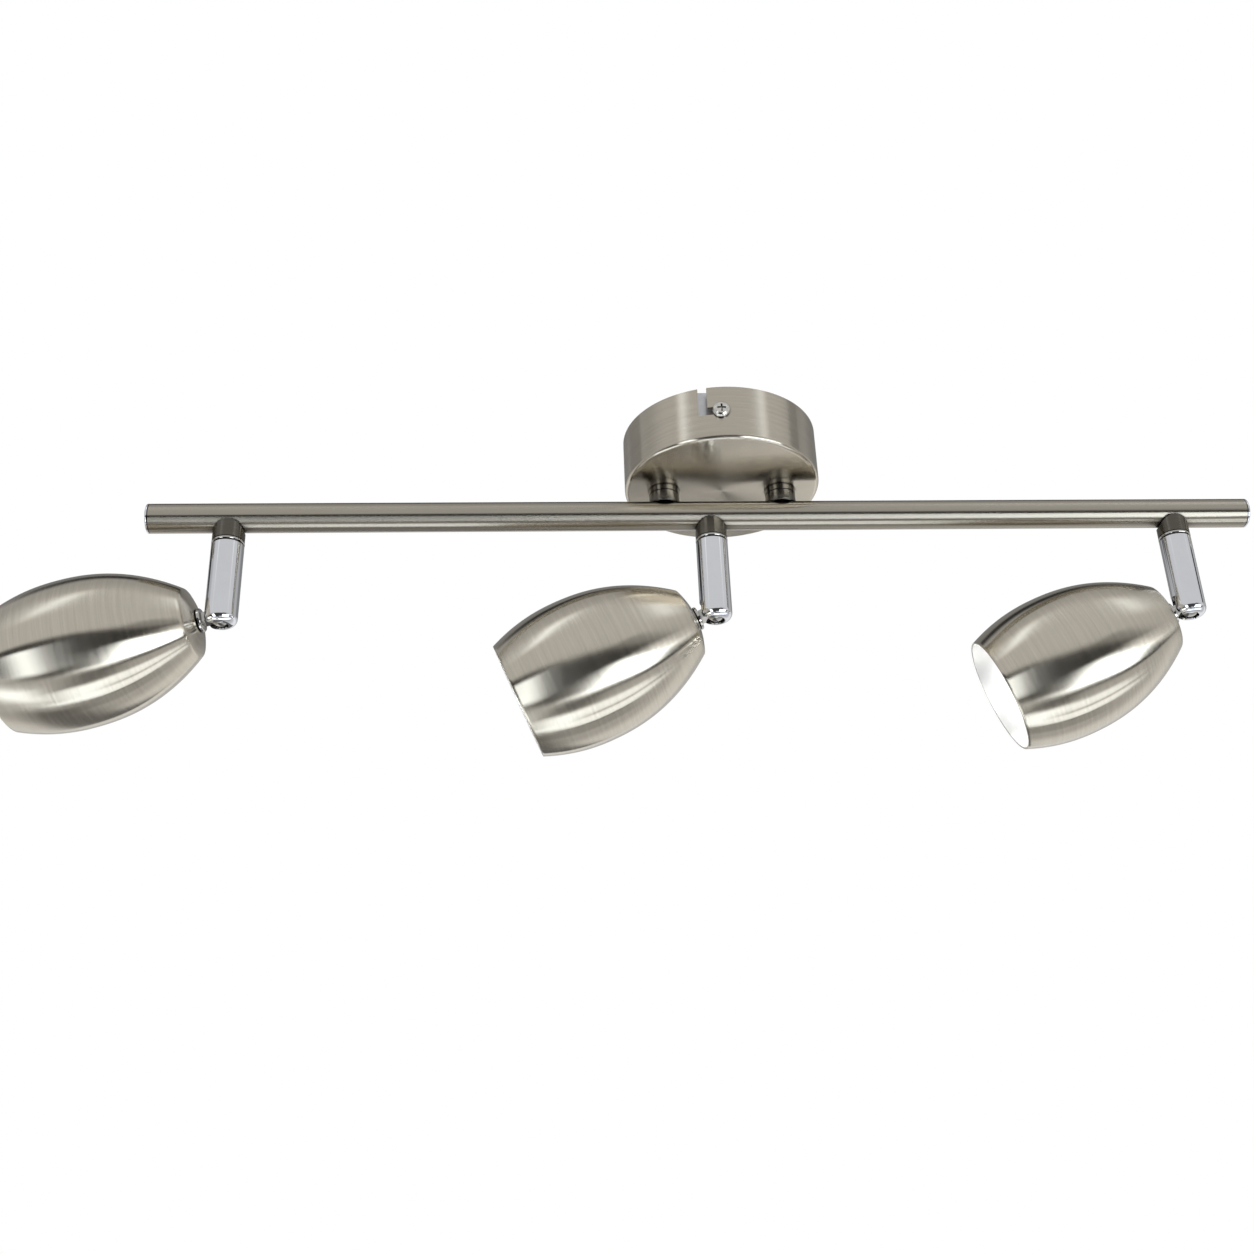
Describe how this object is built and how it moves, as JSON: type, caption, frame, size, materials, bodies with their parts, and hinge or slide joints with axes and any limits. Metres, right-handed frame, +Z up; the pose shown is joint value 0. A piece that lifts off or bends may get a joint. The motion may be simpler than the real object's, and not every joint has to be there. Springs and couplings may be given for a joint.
{
  "type": "track lighting fixture",
  "caption": "Ceiling spot bar in satin nickel: a round cup, two stems, a straight bar and barrel shades on chrome arms that swivel and tilt.",
  "frame": {"origin": "centre of the ceiling plane, where the strap's upper face meets the ceiling on the cup's axis", "axes": "+Z up into the ceiling, +X along the bar, -Y towards the front, where the cup's screw slot shows"},
  "size_m": [0.6344, 0.1058, 0.1676],
  "materials": {
    "satin_nickel": "satin nickel plate over steel, fine circular brushing",
    "chrome": "polished chrome plate",
    "zinc": "zinc-plated steel",
    "brass": "turned brass",
    "white_plastic": "moulded nylon",
    "friction_seat": "hard grey acetal",
    "brown_wire": "insulated wire",
    "blue_wire": "insulated wire",
    "green_wire": "insulated wire",
    "sleeve": "woven glass-fibre sleeve",
    "ceramic": "unglazed steatite",
    "lamp_body": "bright reflector body",
    "lens_glass": "clear pressed glass"
  },
  "bodies": {
    "fixture": {"canopy_cup": "satin_nickel", "mounting_strap": "zinc", "canopy_screws": "chrome", "stems": "satin_nickel", "stem_nipples": "brass", "nipple_nuts": "brass", "nipple_washers": "zinc", "bar_tube": "satin_nickel", "bar_caps": "chrome", "bar_inserts": "brass", "saddles": "satin_nickel", "swivel_rings": "chrome", "swivel_shafts": "brass", "shaft_nuts": "zinc", "terminal_block": "white_plastic", "terminal_screws": "brass", "earth_screw": "brass", "live_leads": "brown_wire", "neutral_leads": "blue_wire", "earth_lead": "green_wire"},
    "arm_left": {"arm_left_tube": "chrome", "arm_left_socket": "friction_seat", "arm_left_lead": "sleeve"},
    "spot_left": {"spot_left_knuckle": "chrome", "spot_left_collar": "chrome", "spot_left_shade": "satin_nickel", "spot_left_plate": "zinc", "spot_left_nut": "brass", "spot_left_holder": "ceramic", "spot_left_screws": "zinc", "spot_left_lamp": "lamp_body", "spot_left_lens": "lens_glass", "spot_left_lead": "sleeve"},
    "arm_middle": {"arm_middle_tube": "chrome", "arm_middle_socket": "friction_seat", "arm_middle_lead": "sleeve"},
    "spot_middle": {"spot_middle_knuckle": "chrome", "spot_middle_collar": "chrome", "spot_middle_shade": "satin_nickel", "spot_middle_plate": "zinc", "spot_middle_nut": "brass", "spot_middle_holder": "ceramic", "spot_middle_screws": "zinc", "spot_middle_lamp": "lamp_body", "spot_middle_lens": "lens_glass", "spot_middle_lead": "sleeve"},
    "arm_right": {"arm_right_tube": "chrome", "arm_right_socket": "friction_seat", "arm_right_lead": "sleeve"},
    "spot_right": {"spot_right_knuckle": "chrome", "spot_right_collar": "chrome", "spot_right_shade": "satin_nickel", "spot_right_plate": "zinc", "spot_right_nut": "brass", "spot_right_holder": "ceramic", "spot_right_screws": "zinc", "spot_right_lamp": "lamp_body", "spot_right_lens": "lens_glass", "spot_right_lead": "sleeve"}
  },
  "joints": [
    {"name": "swivel_left", "type": "hinge", "parent": "fixture", "child": "arm_left", "pos_m": [-0.248, 0, -0.061], "axis": [0, 0, 1], "range_deg": [-170, 170]},
    {"name": "tilt_left", "type": "hinge", "parent": "arm_left", "child": "spot_left", "pos_m": [-0.248, 0, -0.0992], "axis": [0.1736, 0.9848, 0], "range_deg": [-78.5, 11.5]},
    {"name": "swivel_middle", "type": "hinge", "parent": "fixture", "child": "arm_middle", "pos_m": [-0.007, 0, -0.061], "axis": [0, 0, 1], "range_deg": [-170, 170]},
    {"name": "tilt_middle", "type": "hinge", "parent": "arm_middle", "child": "spot_middle", "pos_m": [-0.007, 0, -0.0992], "axis": [0.1564, 0.9877, 0], "range_deg": [-67.5, 22.5]},
    {"name": "swivel_right", "type": "hinge", "parent": "fixture", "child": "arm_right", "pos_m": [0.234, 0, -0.061], "axis": [0, 0, 1], "range_deg": [-170, 170]},
    {"name": "tilt_right", "type": "hinge", "parent": "arm_right", "child": "spot_right", "pos_m": [0.234, 0, -0.0992], "axis": [0.225, 0.9744, 0], "range_deg": [-69, 21]}
  ]
}
